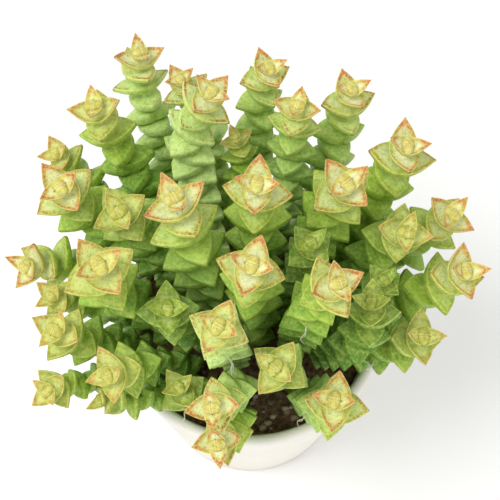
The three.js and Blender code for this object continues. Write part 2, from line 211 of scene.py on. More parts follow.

# Every stem: where its bud is from the pot's axis and the soil, how far its tip leans and which
# way in degrees, the turn of its youngest pair, its full span, and how far the sun has tinted it.
# A low value also makes the stem's greens darker as painted shade.
Stem = namedtuple("Stem", "x y z lean toward turn span sun")
STEMS = [
    Stem(-27, 49.5, 55, 13, 165, 115, 15, 0.9),
    Stem(-37, 28.5, 60, 12, -110, 95, 15, 0.6),
    Stem(-17, 43, 52, 12, -90, 30, 13, 0.9),
    Stem(-9, 29, 64, 19, -65, 145, 15.5, 1),
    Stem(5, 39, 61, 14, -35, 25, 13.5, 0.9),
    Stem(11, 28.5, 60, 25, -80, 75, 13.5, 0.7),
    Stem(25, 38, 55, 11, -55, 20, 15, 1),
    Stem(37.5, 21.5, 54, 11, -65, 0, 17, 0.9),
    Stem(-49, 28.5, 40, 30, -110, 20, 13, 0.6),
    Stem(-43.5, 8.5, 55, 19, -100, 40, 16.5, 0.8),
    Stem(-29.5, 1, 56, 21, -80, 125, 16, 0.4),
    Stem(-16.5, -1, 66, 5, -60, 120, 17, 0.9),
    Stem(1.5, 2, 66, 16, -85, 175, 16, 0.9),
    Stem(22, 7, 59, 11, -50, 40, 17, 0.9),
    Stem(49, 10, 41, 21, -95, 55, 15.5, 0.8),
    Stem(36.5, 0.5, 48, 20, -60, 80, 16, 0.45),
    Stem(-56, 1.5, 30, 24, -125, 150, 15.5, 0.9),
    Stem(-47.5, -8, 33, 20, -95, 45, 12.5, 0.5),
    Stem(-32, -15.5, 61, 20, -90, 35, 18, 0.6),
    Stem(0.5, -16, 63, 10, -75, 165, 16, 0.9),
    Stem(-18, -18.5, 47, 14, -90, 5, 14.5, 0.1),
    Stem(-6.5, -29.5, 60, 24, -80, 155, 15, 0.6),
    Stem(18.5, -22.5, 66, 19, -60, 115, 15, 0.8),
    Stem(26.5, -18, 50, 15, -100, 175, 14, 0.2),
    Stem(31, -7.5, 41, 14, -100, 40, 11.5, 0.1),
    Stem(51, -5.5, 41, 21, -75, 5, 16, 0.8),
    Stem(14, -3, 50, 15, -80, 40, 13.5, 0.1),
    Stem(40.5, -19.5, 35, 27, -75, 0, 15.5, 0.4),
    Stem(-44.5, -21, 40, 30, -100, 60, 15.5, 0.5),
    Stem(-47, -32, 31, 40, -145, 135, 12.5, 0.5),
    Stem(-32.5, -31, 38, 23, -105, 20, 15.5, 0.5),
    Stem(-16.5, -29, 29, 30, -70, 35, 13, 0.3),
    Stem(-8.5, -40.5, 42, 18, -85, 100, 14.5, 0.8),
    Stem(-7.5, -44.5, 28, 48, -95, 105, 15.5, 0.9),
    Stem(5, -33.5, 48, 27, -95, 145, 15.5, 0.4),
    Stem(18.5, -35.5, 36, 21, -80, 170, 16, 0.7),
    Stem(-4, 29, 47, 12, -95, 110, 10, 0.5),
    Stem(-36.5, -30.5, 23, 28, -105, 35, 12, 0.4),
]
# Stems whose older pairs are spaced more or less widely, and those with more powdery bloom, by number
SPACING = {1: 0.9, 2: 1.15, 4: 0.9, 13: 1.25, 19: 1.25, 20: 1.35, 21: 1.35, 36: 0.8}
FIRST_SPACED = 3
BLOOM = {1: 0.7, 3: 0.9, 4: 0.9, 5: 0.5, 6: 0.4, 7: 0.45, 12: 0.2, 22: 0.8, 33: 0.5, 35: 0.2, 36: 0.4}
PLAIN_BLOOM = 0.06

# Colours as red, green and blue from 0 to 255. The greens run from the bud to the oldest pair, each
# with its place between them from 0 to 1. Their older end is darker, partly as the leaves' own colour
# and partly as painted shade deep in the plant. The shady greens have less sun tint and are also
# darker as painted shade on stems that lie in shadow.
SUNNY_GREENS = [
    (0.0, (205, 186, 87)), (0.07, (214, 201, 108)), (0.14, (202, 202, 102)), (0.21, (180, 198, 78)),
    (0.3, (158, 190, 56)), (0.5, (124, 170, 38)), (0.9, (82, 136, 24)),
]
SHADY_GREENS = [
    (0.0, (138, 154, 42)), (0.07, (132, 158, 44)), (0.14, (116, 148, 40)), (0.21, (100, 140, 34)),
    (0.3, (86, 130, 28)), (0.5, (72, 118, 22)), (0.9, (54, 102, 18)),
]
COLUMN_GREEN = (80, 142, 34)
PALE_PATCH = (206, 220, 100)
DARK_PATCH = (96, 146, 28)
SHADY_WHITISH = (218, 226, 146)
SUNNY_WHITISH = (228, 232, 194)
POWDER = (220, 242, 162)
OLD_RIM = (168, 202, 98)
YOUNG_RIM = (236, 226, 164)
OLD_LINE = (146, 88, 42)
YOUNG_LINE = (178, 66, 38)
HALO = (216, 152, 96)
BLUSH = (208, 122, 84)
POINT = (124, 52, 30)
DOTS = (88, 122, 40)
PALE_GRAIN = (222, 230, 124)
DARK_GRAIN = (84, 126, 28)
BUD_SPECKS = (164, 118, 48)
# Painted shade for the creases where leaves meet and for the bud's slit
CREASE_SHADE = (122, 130, 36)
BARK = ((120, 92, 62), (158, 130, 92))
DRY_THREAD = (214, 212, 188)
CLAY = ((226, 221, 210), (240, 237, 230))
CLAY_GRAIN = (205, 197, 182)
CLAY_SPECKS = (166, 148, 124)
# The colour that the pot darkens to at its foot
CLAY_FOOT_DARKER = (196, 184, 164)
EARTHS = [(0.1, (40, 28, 18)), (0.45, (82, 60, 40)), (0.8, (122, 96, 68))]
EARTH_GRAIN = (176, 158, 130)
STONES = [(0.0, (200, 188, 164)), (0.3, (166, 146, 116)), (0.6, (124, 100, 74)), (1.0, (84, 66, 50))]
STONE_GRAIN = (216, 206, 186)
FLOOR = ((250, 250, 249), (252, 252, 251))


def draws(seed):
    """Repeatable draws between 0 and 1."""
    state = seed
    while True:
        state = (state * DRAW_FACTOR) % DRAW_LIMIT
        yield state / DRAW_LIMIT


def tip_axis(lean, toward):
    tilt = math.radians(lean)
    way = math.radians(toward)
    return np.array([math.sin(tilt) * math.cos(way), math.sin(tilt) * math.sin(way), math.cos(tilt)])


def between(ends, share):
    """The value at a share of the way from one end to the other."""
    return ends[0] + (ends[1] - ends[0]) * share


def levels_below(bud_height):
    """How many levels a stem has below its bud."""
    return math.ceil((bud_height - LAST_STEP) / LEVEL_STEP)


def arc(base, bud, slope, height, share):
    """The sideways place of a stem at a share of its bud's height."""
    to_bud = 3 * share**2 - 2 * share**3
    start = (share**3 - 2 * share**2 + share) * LEAN_OUT * (bud - base)
    return base + to_bud * (bud - base) + start + (share**3 - share**2) * slope * height


def grow_stems():
    """Stems grow out of the soil and push each other aside, at levels below their buds."""
    count = len(STEMS)
    highest = max(levels_below(stem.z) for stem in STEMS) + 1
    place = np.zeros((count, highest, 2))
    height = np.zeros((count, highest))
    radius = np.zeros((count, highest))
    there = np.zeros((count, highest), bool)
    held = np.ones((count, highest), bool)
    for i, stem in enumerate(STEMS):
        axis = tip_axis(stem.lean, stem.toward)
        slope = axis[:2] / axis[2]
        bud = np.array([stem.x, stem.y])
        base = BASE_SHARE * (bud - TIP_DROP * slope)
        base *= min(1, BASE_LIMIT / np.linalg.norm(base))
        levels = levels_below(stem.z)
        for level in range(levels):
            at = level * LEVEL_STEP
            share = at / stem.z
            place[i, level] = arc(base, bud, slope, stem.z, share)
            height[i, level] = at
            radius[i, level] = stem.span / 2 * min(1, THIN_BASE + FILLING * share)
            held[i, level] = stem.z - at < HELD_DROP
        place[i, levels] = bud
        height[i, levels] = stem.z
        radius[i, levels] = BUD_ROOM * stem.span
        there[i, : levels + 1] = True
    both = there[:, None] & there[None, :] & ~np.eye(count, dtype=bool)[:, :, None]
    room = radius[:, None] + radius[None, :]
    shift = np.zeros_like(place)
    limit = BASE_LIMIT + RIM_SLOPE * height
    for _ in range(GROW_ROUNDS):
        now = place + shift
        apart = now[:, None] - now[None, :]
        away = np.sqrt((apart**2).sum(-1)) + TINY
        push = np.where(both, PUSH * np.maximum(0, room - away) / away, 0)
        move = (push[..., None] * apart).sum(1)
        even = np.zeros_like(shift)
        even[:, 1:-1] = PUSH * ((shift[:, :-2] + shift[:, 2:]) / 2 - shift[:, 1:-1])
        shift = np.where(held[..., None], shift, shift + move + even)
        now = place + shift
        out = np.sqrt((now**2).sum(-1))
        low = np.arange(highest)[None, :] < RIM_LEVELS
        too_far = low & ~held & (out > limit)
        pulled = now * (limit / np.maximum(out, TINY))[..., None] - place
        shift = np.where(too_far[..., None], pulled, shift)
    grown = []
    for i in range(count):
        now = (place + shift)[i][there[i]]
        grown.append(np.column_stack([now, SOIL_TOP + height[i][there[i]]]))
    return grown


class Line:
    """The centreline of a stem from the soil to its bud."""

    def __init__(self, nodes, axis):
        before = 2 * nodes[0] - nodes[1]
        after = nodes[-1] + axis * np.linalg.norm(nodes[-1] - nodes[-2])
        way = np.vstack([before, nodes, after])
        points = []
        for i in range(1, len(nodes)):
            a, b, c, d = way[i - 1 : i + 3]
            for step in range(CURVE_STEPS):
                t = step / CURVE_STEPS
                second = 2 * a - 5 * b + 4 * c - d
                third = 3 * b - 3 * c - a + d
                points.append(0.5 * (2 * b + (c - a) * t + second * t**2 + third * t**3))
        points.append(nodes[-1])
        self.points = np.array(points)
        steps = np.linalg.norm(np.diff(self.points, axis=0), axis=1)
        self.along = np.concatenate([[0], np.cumsum(steps)])
        self.length = self.along[-1]

    def place(self, distance):
        """The place at a distance along the stem. It runs on straight past both ends."""
        i = int(np.clip(np.searchsorted(self.along[:-1], distance), 1, len(self.along) - 1))
        way = self.points[i] - self.points[i - 1]
        return self.points[i - 1] + way / np.linalg.norm(way) * (distance - self.along[i - 1])

    def frame(self, distance):
        """The place there, two directions across the stem and the one along it."""
        way = self.place(distance + EVEN_OUT) - self.place(distance - EVEN_OUT)
        return frame_of(self.place(distance), way / np.linalg.norm(way))


def frame_of(place, way):
    across = np.array([1.0, 0, 0]) - way[0] * way
    across /= np.linalg.norm(across)
    return place, across, np.cross(way, across), way


def by_age(young, old, k):
    return young[k] if k < len(young) else old


def leaf_pairs(stem, spacing, line, room, draw):
    """The pairs of one stem from the bud down, with the sizes that its neighbours leave room for."""
    span = stem.span
    pairs = []
    below = 0
    k = 0
    while True:
        fullness = 1 if k == 0 else 2 * pairs[-1]["reach"] / span
        gap = span * by_age(YOUNG_GAP, OLD_GAP * (1 - CROWDING * (1 - fullness)), k)
        below += gap * (spacing if k >= FIRST_SPACED else 1)
        at = line.length - below
        if at < BARE_LENGTH:
            return pairs
        turn = math.radians(stem.turn + 90 * (k % 2) + UNEVEN_TURN * (next(draw) - 0.5))
        reach = span / 2 * min(by_age(YOUNG_SPAN, 1, k), room(at))
        half = reach * by_age(YOUNG_WIDTH, OLD_WIDTH, k)
        rise = reach * by_age(YOUNG_RISE, OLD_RISE, k)
        tips = [reach * (1 + UNEVEN_REACH * (next(draw) - 0.5)) for _ in range(2)]
        rises = [rise * (1 + UNEVEN_RISE * (next(draw) - 0.5)) for _ in range(2)]
        pair = {"at": at, "turn": turn, "reach": reach, "half": half, "rise": rise}
        pair.update(tips=tips, rises=rises, gap=LOWEST_GAP * at)
        if pairs:
            pairs[-1]["gap"] = pairs[-1]["at"] - at
        pairs.append(pair)
        k += 1


def outline(tips, half):
    """A leaf pair's outline once round from its first tip, its shares along the leaves, and how
    squarely each point's margin faces away from the stem."""
    step = np.arange(QUARTER) / QUARTER
    share = np.concatenate([step, 1 - step, step, 1 - step])
    t = 1 - share**TIP_CROWDING
    v = (1 - t) / (1 - SHOULDER)
    width = FULLNESS * half * v / (1 + v**ROUNDNESS) ** (1 / ROUNDNESS)
    width = width * (1 - JOIN_NOTCH * np.exp(-((t / JOIN_WIDTH) ** 2)))
    quarter = np.arange(ROUND) // QUARTER
    forward = (quarter == 0) | (quarter == 3)
    x = np.where(forward, tips[0] * t, -tips[1] * t)
    y = np.where(quarter < 2, width, -width)
    side = np.stack([np.roll(y, -1) - np.roll(y, 1), np.roll(x, 1) - np.roll(x, -1)])
    # At a tip the two margins meet, so the face of the next point is used
    side[:, 0] = side[:, 1]
    side[:, 2 * QUARTER] = side[:, 2 * QUARTER + 1]
    side = side / np.linalg.norm(side, axis=0)
    squarely = np.abs(x * side[0] + y * side[1]) / np.maximum(TINY, np.hypot(x, y))
    return x, y, t, forward, squarely


class Skin:
    """A closed skin of rings with the same number of points, and what is painted on them."""

    TRAITS = ("edge", "along", "age", "crease", "wood", "dry")

    def __init__(self):
        self.rings = []
        self.traits = {name: [] for name in self.TRAITS}
        self.threads = []

    def ring(self, frame_here, x, y, z, **traits):
        place, across, beside, way = frame_here
        self.rings.append(place + np.outer(x, across) + np.outer(y, beside) + np.outer(z, way))
        for name in self.TRAITS:
            self.traits[name].append(np.broadcast_to(traits.get(name, 0), (ROUND,)))

    def mesh(self, name):
        count = len(self.rings)
        points = np.concatenate(self.rings) * MM
        low = np.arange(ROUND)
        high = np.roll(low, -1)
        faces = []
        for i in range(count - 1):
            a = i * ROUND
            faces.append(np.column_stack([a + low, a + high, a + high + ROUND, a + low + ROUND]))
        sides = np.concatenate(faces).tolist()
        top = (count - 1) * ROUND
        caps = [list(range(ROUND))[::-1], [top + i for i in range(ROUND)]]
        polygons = sides + caps
        loose = 0
        for path in self.threads:
            tube, tube_faces = thread_tube(path)
            polygons += [tuple(len(points) + i for i in face) for face in tube_faces]
            points = np.concatenate([points, tube * MM])
            loose += len(tube)
        mesh = bpy.data.meshes.new(name)
        mesh.from_pydata(points.tolist(), [], polygons)
        for trait, values in self.traits.items():
            attribute = mesh.attributes.new(trait, "FLOAT", "POINT")
            on_threads = np.full(loose, 1 if trait == "dry" else 0)
            attribute.data.foreach_set("value", np.concatenate([*values, on_threads]).astype(np.float32))
        mesh.polygons.foreach_set("use_smooth", [True] * len(mesh.polygons))
        return mesh


def thread_tube(path):
    """A thin closed tube along a path, thinner towards its end."""
    turn = 2 * math.pi * np.arange(THREAD_SIDES) / THREAD_SIDES
    points, faces = [], []
    for i, place in enumerate(path):
        way = path[min(i + 1, len(path) - 1)] - path[max(i - 1, 0)]
        _, across, beside, _ = frame_of(place, way / np.linalg.norm(way))
        radius = THREAD_RADIUS * (1 - THREAD_TAPER * i / len(path))
        points.append(place + radius * (np.outer(np.cos(turn), across) + np.outer(np.sin(turn), beside)))
    for i in range(len(path) - 1):
        for j in range(THREAD_SIDES):
            a, b = i * THREAD_SIDES + j, i * THREAD_SIDES + (j + 1) % THREAD_SIDES
            faces.append((a, b, b + THREAD_SIDES, a + THREAD_SIDES))
    last = (len(path) - 1) * THREAD_SIDES
    faces.append(tuple(range(THREAD_SIDES))[::-1])
    faces.append(tuple(last + j for j in range(THREAD_SIDES)))
    return np.concatenate(points), faces


def thread_path(line, pair, draw):
    """A dry root that hangs, curling, from between two leaves on the side nearest the front."""
    place, across, beside, _ = line.frame(pair["at"])
    turns = pair["turn"] + math.pi / 4 + math.pi / 2 * np.arange(4)
    ways = np.outer(np.cos(turns), across) + np.outer(np.sin(turns), beside)
    out = ways[ways[:, 1].argmin()]
    down = np.array([0, 0, -1.0])
    side = np.cross(out, down)
    t = np.linspace(0, 1, THREAD_STEPS)[:, None]
    waves = between(THREAD_WAVES, next(draw))
    curl = np.sin(waves * t + THREAD_PHASE * next(draw)) * t
    length = between(THREAD_LENGTHS, next(draw))
    way = THREAD_OUT * out * np.sin(THREAD_BEND * t) + THREAD_DOWN * down * t**2
    way = way + THREAD_CURL * side * curl
    return place + THREAD_ROOT * pair["reach"] * out + length * way


def spun(x, y, angle, k):
    """Turns a ring by an angle, and counts its points from the same side of the stem for every k."""
    c, s = math.cos(angle), math.sin(angle)
    steps = QUARTER * (k % 2)
    return np.roll(x * c - y * s, steps), np.roll(x * s + y * c, steps)


def add_pair(skin, line, pair, k):
    here = line.frame(pair["at"])
    x, y, t, forward, squarely = outline(pair["tips"], pair["half"])
    waist = WAIST_RISE * pair["rise"]
    tip_rise = np.where(forward, pair["rises"][0], pair["rises"][1])
    wide = np.hypot(x, y) * squarely
    steps = QUARTER * (k % 2)

    def put(share, drop, edge):
        lift = waist + (tip_rise - waist) * (share * t) ** TIP_CURL
        px, py = spun(share * x, share * y, pair["turn"], k)
        crease = np.exp(-((t / JOIN_WIDTH) ** 2)) * (share > CREASE_FROM)
        skin.ring(
            here, px, py, np.roll(lift - drop, steps),
            edge=np.roll(edge, steps), along=np.roll(share * t, steps), age=k,
            crease=np.roll(crease, steps),
        )

    plump = pair["gap"] * (YOUNG_BELLY if k < len(YOUNG_GAP) else 1)
    thick = plump * (1 - TIP_THIN * t**2 - WAIST_THIN * (1 - t) ** 2)
    for share, depth in UNDER_RINGS:
        put(share, depth * thick, -depth * thick - (1 - share) * wide)
    for share, swell, cup in UPPER_RINGS:
        hollow = CUP * cup if k < CUPPED_PAIRS else -SWELL * swell
        put(share, hollow * pair["reach"], (1 - share) * wide)


def add_bud(skin, line, pair):
    here = line.frame(pair["at"])
    height = BUD_HEIGHT * (line.length - pair["at"])
    turn = 2 * math.pi * np.arange(ROUND) / ROUND
    turn = turn - BUD_CROWDING * np.sin(2 * turn)
    length, width = BUD_LENGTH * pair["reach"], BUD_WIDTH * pair["reach"]
    for share, girth in BUD_RINGS:
        # The slit runs along x, between two small leaves that point along y
        x = girth * width * np.cos(turn)
        y = girth * length * np.sin(turn)
        slit = np.exp(-((y / (BUD_SLIT_WIDTH * length)) ** 2))
        x = x * (1 - BUD_PINCH * slit)
        z = height * (share - BUD_SLIT * slit * share**3)
        px, py = spun(x, y, pair["turn"], 0)
        lip = np.abs(y) - BUD_LIP
        skin.ring(here, px, py, z, edge=lip, along=BUD_ALONG * girth, age=-1, crease=slit * share)


def stem_mesh(name, line, pairs, thread_pairs):
    skin = Skin()
    turn = 2 * math.pi * np.arange(ROUND) / ROUND + pairs[0]["turn"]
    knobs = 1 + sum(high * np.sin(count * turn + start) for high, count, start in WOOD_KNOBS)
    foot = frame_of(line.points[0], np.array([0, 0, 1.0]))
    wood = WOOD_SHARE * WOOD_RADIUS * knobs
    x, y = wood * np.cos(turn), wood * np.sin(turn)
    for z in (-WOOD_DEPTH, -WOOD_NECK, 0, COLLAR):
        skin.ring(foot, x, y, np.full(ROUND, z), wood=1, age=OLDEST, edge=-1)
    lowest = pairs[-1]
    for share in BARE_SHARES:
        at = COLLAR + share * (lowest["at"] - lowest["gap"] - COLLAR)
        thin = 1 - (1 - WOOD_TAPER) * share
        here = line.frame(at)
        skin.ring(here, thin * x, thin * y, np.zeros(ROUND), wood=1 - share / 2, age=OLDEST, edge=-1)
    for k in reversed(range(len(pairs))):
        add_pair(skin, line, pairs[k], k)
    add_bud(skin, line, pairs[0])
    draw = draws(THREAD_SEED)
    for k in thread_pairs:
        skin.threads += [thread_path(line, pairs[k], draw) for _ in range(THREADS_TOGETHER)]
    return skin.mesh(name)


# Materials
def srgb(red, green, blue):
    """A colour given in 0 to 255 as the shader's linear colour."""
    parts = [c / 255 for c in (red, green, blue)]
    return (*[p / 12.92 if p <= 0.04045 else ((p + 0.055) / 1.055) ** 2.4 for p in parts], 1)


class Nodes:
    """Short names for the shader nodes that the materials use."""

    def __init__(self, name):
        self.material = bpy.data.materials.new(name)
        self.material.use_nodes = True
        self.tree = self.material.node_tree
        self.shader = self.tree.nodes["Principled BSDF"]

    def new(self, kind, **settings):
        node = self.tree.nodes.new(kind)
        for key, value in settings.items():
            setattr(node, key, value)
        return node

    def link(self, source, target):
        """Sets a socket to a number or a colour, or links another node's output to it."""
        if isinstance(source, tuple):
            target.default_value = srgb(*source)
        elif isinstance(source, (int, float)):
            target.default_value = source
        else:
            self.tree.links.new(source, target)

    def trait(self, name):
        return self.new("ShaderNodeAttribute", attribute_name=name).outputs["Fac"]

    def places(self):
        return self.new("ShaderNodeTexCoord").outputs["Object"]

    def math(self, operation, a, b=0.0):
        node = self.new("ShaderNodeMath", operation=operation)
        self.link(a, node.inputs[0])
        self.link(b, node.inputs[1])
        return node.outputs[0]

    def plus(self, a, b):
        return self.math("ADD", a, b)

    def minus(self, a, b):
        return self.math("SUBTRACT", a, b)

    def times(self, *factors):
        product = factors[0]
        for factor in factors[1:]:
            product = self.math("MULTIPLY", product, factor)
        return product

    def ease(self, value, start, end, low=0.0, high=1.0):
        """Smoothly from low to high as value goes from start to end."""
        node = self.new("ShaderNodeMapRange", interpolation_type="SMOOTHSTEP")
        self.link(value, node.inputs["Value"])
        for key, number in (("From Min", start), ("From Max", end), ("To Min", low), ("To Max", high)):
            node.inputs[key].default_value = number
        return node.outputs[0]

    def mix(self, share, a, b):
        node = self.new("ShaderNodeMix", data_type="RGBA")
        self.link(share, node.inputs["Factor"])
        self.link(a, node.inputs["A"])
        self.link(b, node.inputs["B"])
        return node.outputs["Result"]

    def ramp(self, value, stops):
        node = self.new("ShaderNodeValToRGB")
        self.link(value, node.inputs[0])
        ends = node.color_ramp.elements
        while len(ends) < len(stops):
            ends.new(0.5)
        for end, (at, color) in zip(ends, stops):
            end.position = at
            end.color = srgb(*color)
        return node.outputs["Color"]

    def noise(self, scale, detail=3.0, roughness=0.5):
        node = self.new("ShaderNodeTexNoise")
        self.link(self.places(), node.inputs["Vector"])
        node.inputs["Scale"].default_value = scale
        node.inputs["Detail"].default_value = detail
        node.inputs["Roughness"].default_value = roughness
        return node.outputs["Fac"]

    def cells(self, scale):
        node = self.new("ShaderNodeTexVoronoi")
        self.link(self.places(), node.inputs["Vector"])
        node.inputs["Scale"].default_value = scale
        return node.outputs["Distance"]

    def bump(self, height, distance, strength=1.0):
        node = self.new("ShaderNodeBump")
        node.inputs["Strength"].default_value = strength
        node.inputs["Distance"].default_value = distance
        self.link(height, node.inputs["Height"])
        self.link(node.outputs[0], self.shader.inputs["Normal"])


def leaf_material():
    m = Nodes("succulent_leaf")
    edge, along, age = m.trait("edge"), m.trait("along"), m.trait("age")
    crease, wood, sun, bloom = m.trait("crease"), m.trait("wood"), m.trait("sun"), m.trait("bloom")
    # Mottling in three sizes. The scales of noise and cells are in repeats a metre.
    broad = m.noise(110, 3)
    patch = m.noise(420, 4, 0.6)
    fine = m.noise(1300, 4, 0.6)

    # The pairs' green from the bud, whose age is -1, to the oldest, in sun and in shade. The darker
    # older pairs are partly their own colour and partly painted shade deep in the plant, and the
    # shady greens add painted shade to the stems in shadow.
    years = m.math("DIVIDE", m.plus(age, 1), OLDEST + 1)
    years = m.plus(years, m.times(m.minus(broad, 0.5), 0.16))
    sunny = m.ramp(years, SUNNY_GREENS)
    shady = m.ramp(years, SHADY_GREENS)
    green = m.mix(m.ease(sun, 0.05, 0.75), shady, sunny)
    column = m.times(m.ease(age, 3.0, 7.0), m.ease(sun, 0.95, 0.6, 0.0, 0.5))
    green = m.mix(column, green, COLUMN_GREEN)
    green = m.mix(m.ease(patch, 0.45, 0.7, 0.0, 0.4), green, PALE_PATCH)
    green = m.mix(m.ease(patch, 0.5, 0.28, 0.0, 0.3), green, DARK_PATCH)

    # A whitish green centre on the upper face of the young pairs, and less of it on the bud
    young = m.ease(age, 4.2, 0.8)
    mottled = m.ease(patch, 0.3, 0.6, 0.3, 1.0)
    centre = m.times(m.ease(edge, 0.4, 1.6), young, mottled, m.ease(sun, 0, 0.8, 0.25, 0.85))
    centre = m.times(centre, m.ease(age, -0.8, -0.2, 0.4, 1.0))
    whitish = m.mix(m.ease(sun, 0.5, 0.95), SHADY_WHITISH, SUNNY_WHITISH)
    green = m.mix(centre, green, whitish)

    # Powdery bloom on the older pairs
    powder = m.times(bloom, m.ease(age, 0.8, 3.5, 0.1, 1.0), m.ease(patch, 0.25, 0.7, 0.5, 1.0))
    green = m.mix(powder, green, POWDER)

    # The margin is a pale line that fades on the older pairs
    rim = m.times(m.ease(edge, -0.4, -0.06), m.ease(edge, 0.24, 0.06), m.ease(patch, 0.3, 0.6, 0.6, 1.0))
    rim = m.times(rim, m.ease(sun, 0.1, 0.8, 0.45, 1.0), m.ease(age, 5.5, 0.5, 0.3, 0.65))
    green = m.mix(rim, green, m.mix(m.ease(age, 4.5, 1.0), OLD_RIM, YOUNG_RIM))

    # Just inside it runs a red line, broken into dots, that widens to the tip. It is brown on older
    # pairs, and reaches further down the powdery stems.
    line = m.times(m.ease(edge, 0.06, 0.24), m.ease(m.minus(edge, m.times(along, 0.3)), 0.8, 0.4))
    reach = m.plus(along, m.times(m.minus(broad, 0.5), 0.9))
    dotted = m.ease(m.plus(m.cells(2400), m.times(fine, 0.5)), 1.05, 0.55, 0.12, 1.0)
    tanned = m.ease(sun, 0.1, 0.9)
    fading = m.ease(m.minus(age, m.times(bloom, 1.8)), 4.2, 0.9)
    red = m.times(line, m.ease(reach, 0.26, 0.72), dotted, tanned, fading)
    green = m.mix(red, green, m.mix(m.ease(age, 3.0, 0.8), OLD_LINE, YOUNG_LINE))

    # A soft blush along the margins and at the tips of the youngest pairs, with a dark point
    blushing = m.times(tanned, m.ease(age, 2.6, 0.6))
    halo = m.times(m.ease(edge, 1.5, 0.3), m.ease(reach, 0.1, 0.8), blushing)
    green = m.mix(m.times(halo, 0.22), green, HALO)
    blush = m.times(m.ease(along, 0.45, 1.0), blushing, m.ease(edge, -1.4, 0.1), mottled)
    green = m.mix(m.times(blush, 0.65), green, BLUSH)
    point = m.times(m.ease(along, 0.92, 0.99), tanned, m.ease(age, 4.5, 1.0, 0.25, 0.8))
    green = m.mix(point, green, POINT)

    # Fine dark dots and grain, brown specks on the bud, and painted shade in the creases where the
    # leaves meet and in the bud's slit
    dots = m.times(m.ease(m.cells(1800), 0.32, 0.1), m.ease(broad, 0.3, 0.6, 0.25, 0.65))
    green = m.mix(dots, green, DOTS)
    green = m.mix(m.ease(fine, 0.45, 0.7, 0.0, 0.36), green, PALE_GRAIN)
    green = m.mix(m.ease(fine, 0.5, 0.3, 0.0, 0.3), green, DARK_GRAIN)
    specks = m.times(m.ease(m.cells(2100), 0.3, 0.1), m.ease(age, 0.0, -0.7), tanned)
    green = m.mix(m.times(specks, 0.5), green, BUD_SPECKS)
    # Painted shade in the creases
    green = m.mix(m.times(crease, 0.3), green, CREASE_SHADE)

    # The woody foot and the dry threads
    green = m.mix(wood, green, m.mix(fine, *BARK))
    green = m.mix(m.trait("dry"), green, DRY_THREAD)

    m.link(green, m.shader.inputs["Base Color"])
    upper = m.ease(edge, 0.1, 0.5)
    m.link(m.ease(m.plus(fine, m.times(upper, 0.1)), 0.25, 0.8, 0.4, 0.6), m.shader.inputs["Roughness"])
    m.shader.inputs["Specular IOR Level"].default_value = 0.35
    m.shader.inputs["Subsurface Weight"].default_value = 0.3
    m.shader.inputs["Subsurface Radius"].default_value = (1.0, 1.0, 0.3)
    m.shader.inputs["Subsurface Scale"].default_value = 1.5 * MM
    grain = m.plus(m.times(fine, 0.5), m.ease(m.cells(1150), 0.0, 0.25))
    m.bump(m.plus(m.times(patch, 1.5), grain), 0.16 * MM, 0.6)
    return m.material


def pot_material():
    m = Nodes("fired_clay")
    cloud = m.noise(35, 4)
    grain = m.noise(1500, 3, 0.6)
    specks = m.ease(m.cells(420), 0.13, 0.04)
    body = m.mix(cloud, *CLAY)
    body = m.mix(m.times(m.ease(grain, 0.55, 0.75), 0.25), body, CLAY_GRAIN)
    body = m.mix(m.times(specks, 0.35), body, CLAY_SPECKS)
    place = m.new("ShaderNodeSeparateXYZ")
    m.link(m.places(), place.inputs[0])
    height = place.outputs["Z"]
    # Darker towards the foot
    body = m.mix(m.times(m.ease(height, FOOT_DARKENING * MM, 0.0), 0.35), body, CLAY_FOOT_DARKER)
    m.link(body, m.shader.inputs["Base Color"])
    m.link(m.ease(grain, 0.2, 0.8, 0.55, 0.8), m.shader.inputs["Roughness"])
    rings = m.math("SINE", m.times(height, 2 * math.pi / (TURNING_STEP * MM)))
    m.bump(m.plus(grain, m.times(rings, 0.5)), 0.1 * MM, 0.5)
    return m.material


def soil_material():
    m = Nodes("potting_mix")
    crumb = m.cells(650)
    cloud = m.noise(160, 4, 0.6)
    grain = m.noise(1800, 4, 0.7)
    earth = m.ramp(m.plus(m.times(crumb, 0.7), m.times(cloud, 0.5)), EARTHS)
    m.link(m.mix(m.ease(grain, 0.62, 0.72), earth, EARTH_GRAIN), m.shader.inputs["Base Color"])
    m.shader.inputs["Roughness"].default_value = 0.95
    m.bump(m.plus(crumb, grain), 0.6 * MM, 0.8)
    return m.material


def stone_material():
    m = Nodes("pumice_grit")
    grain = m.noise(2200, 4, 0.7)
    stone = m.ramp(m.trait("tint"), STONES)
    stone = m.mix(m.ease(grain, 0.45, 0.65, 0.0, 0.35), stone, STONE_GRAIN)
    m.link(stone, m.shader.inputs["Base Color"])
    m.shader.inputs["Roughness"].default_value = 0.9
    m.bump(grain, 0.3 * MM, 0.6)
    return m.material


def floor_material():
    m = Nodes("studio_floor")
    m.link(m.mix(m.noise(12, 2), *FLOOR), m.shader.inputs["Base Color"])
    m.shader.inputs["Roughness"].default_value = 0.9
    return m.material


def add_object(name, mesh):
    made = bpy.data.objects.new(name, mesh)
    bpy.context.scene.collection.objects.link(made)
    return made


# Camera
def add_camera():
    lens = bpy.data.cameras.new("camera")
    lens.sensor_width = SENSOR
    lens.lens = SENSOR * FOCAL_PIXELS / FRAME_PIXELS
    lens.shift_y = FRAME_SHIFT
    lens.clip_start, lens.clip_end = CLIP_METRES
    camera = add_object("camera", lens)
    tilt = math.radians(VIEW_ELEVATION)
    camera.location = TARGET + VIEW_DISTANCE * MM * Vector((0, -math.cos(tilt), math.sin(tilt)))
    camera.rotation_euler = (TARGET - camera.location).to_track_quat("-Z", "Y").to_euler()
    bpy.context.scene.camera = camera


add_camera()

# Leafy stems
lines = [Line(nodes, tip_axis(stem.lean, stem.toward)) for nodes, stem in zip(grow_stems(), STEMS)]


def square_reach(angle):
    """How far a square with corners at distance 1 reaches in a direction from one of its corners."""
    return max(abs(math.cos(angle)), abs(math.sin(angle)))


